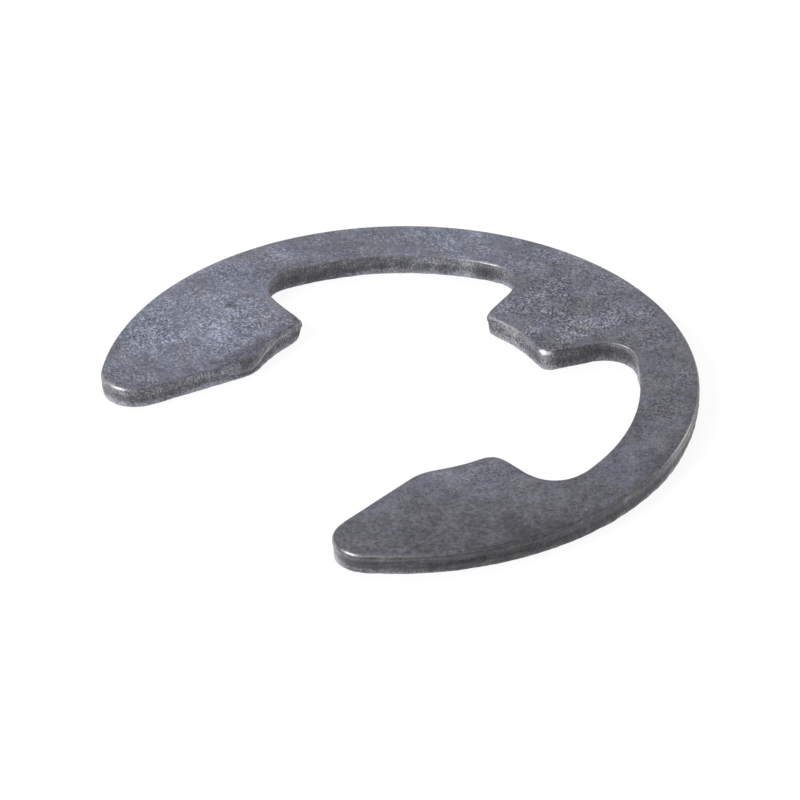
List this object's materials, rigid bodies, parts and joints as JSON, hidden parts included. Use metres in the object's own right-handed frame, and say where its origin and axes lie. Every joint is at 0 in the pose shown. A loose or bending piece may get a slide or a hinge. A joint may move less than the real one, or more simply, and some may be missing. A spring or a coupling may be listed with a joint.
{
  "type": "e clip",
  "caption": "E-shaped retaining ring stamped from flat spring steel: a round bow with a centre prong, two side prongs with round noses and an open mouth.",
  "frame": {"origin": "on the axis of the shaft that the ring grips, in the plane of the ring's lower face", "axes": "+Z along the shaft's axis, from the lower (torn-edge) face to the upper (rolled-edge) face; +Y toward the centre prong; the mouth opens toward -Y"},
  "size_m": [0.033, 0.0287, 0.0013],
  "materials": {
    "phosphated_steel": "dark blue-grey phosphate coat, matt and finely mottled, rubbed brighter along the edges"
  },
  "bodies": {
    "root": {"retaining_ring": "phosphated_steel"}
  },
  "joints": []
}
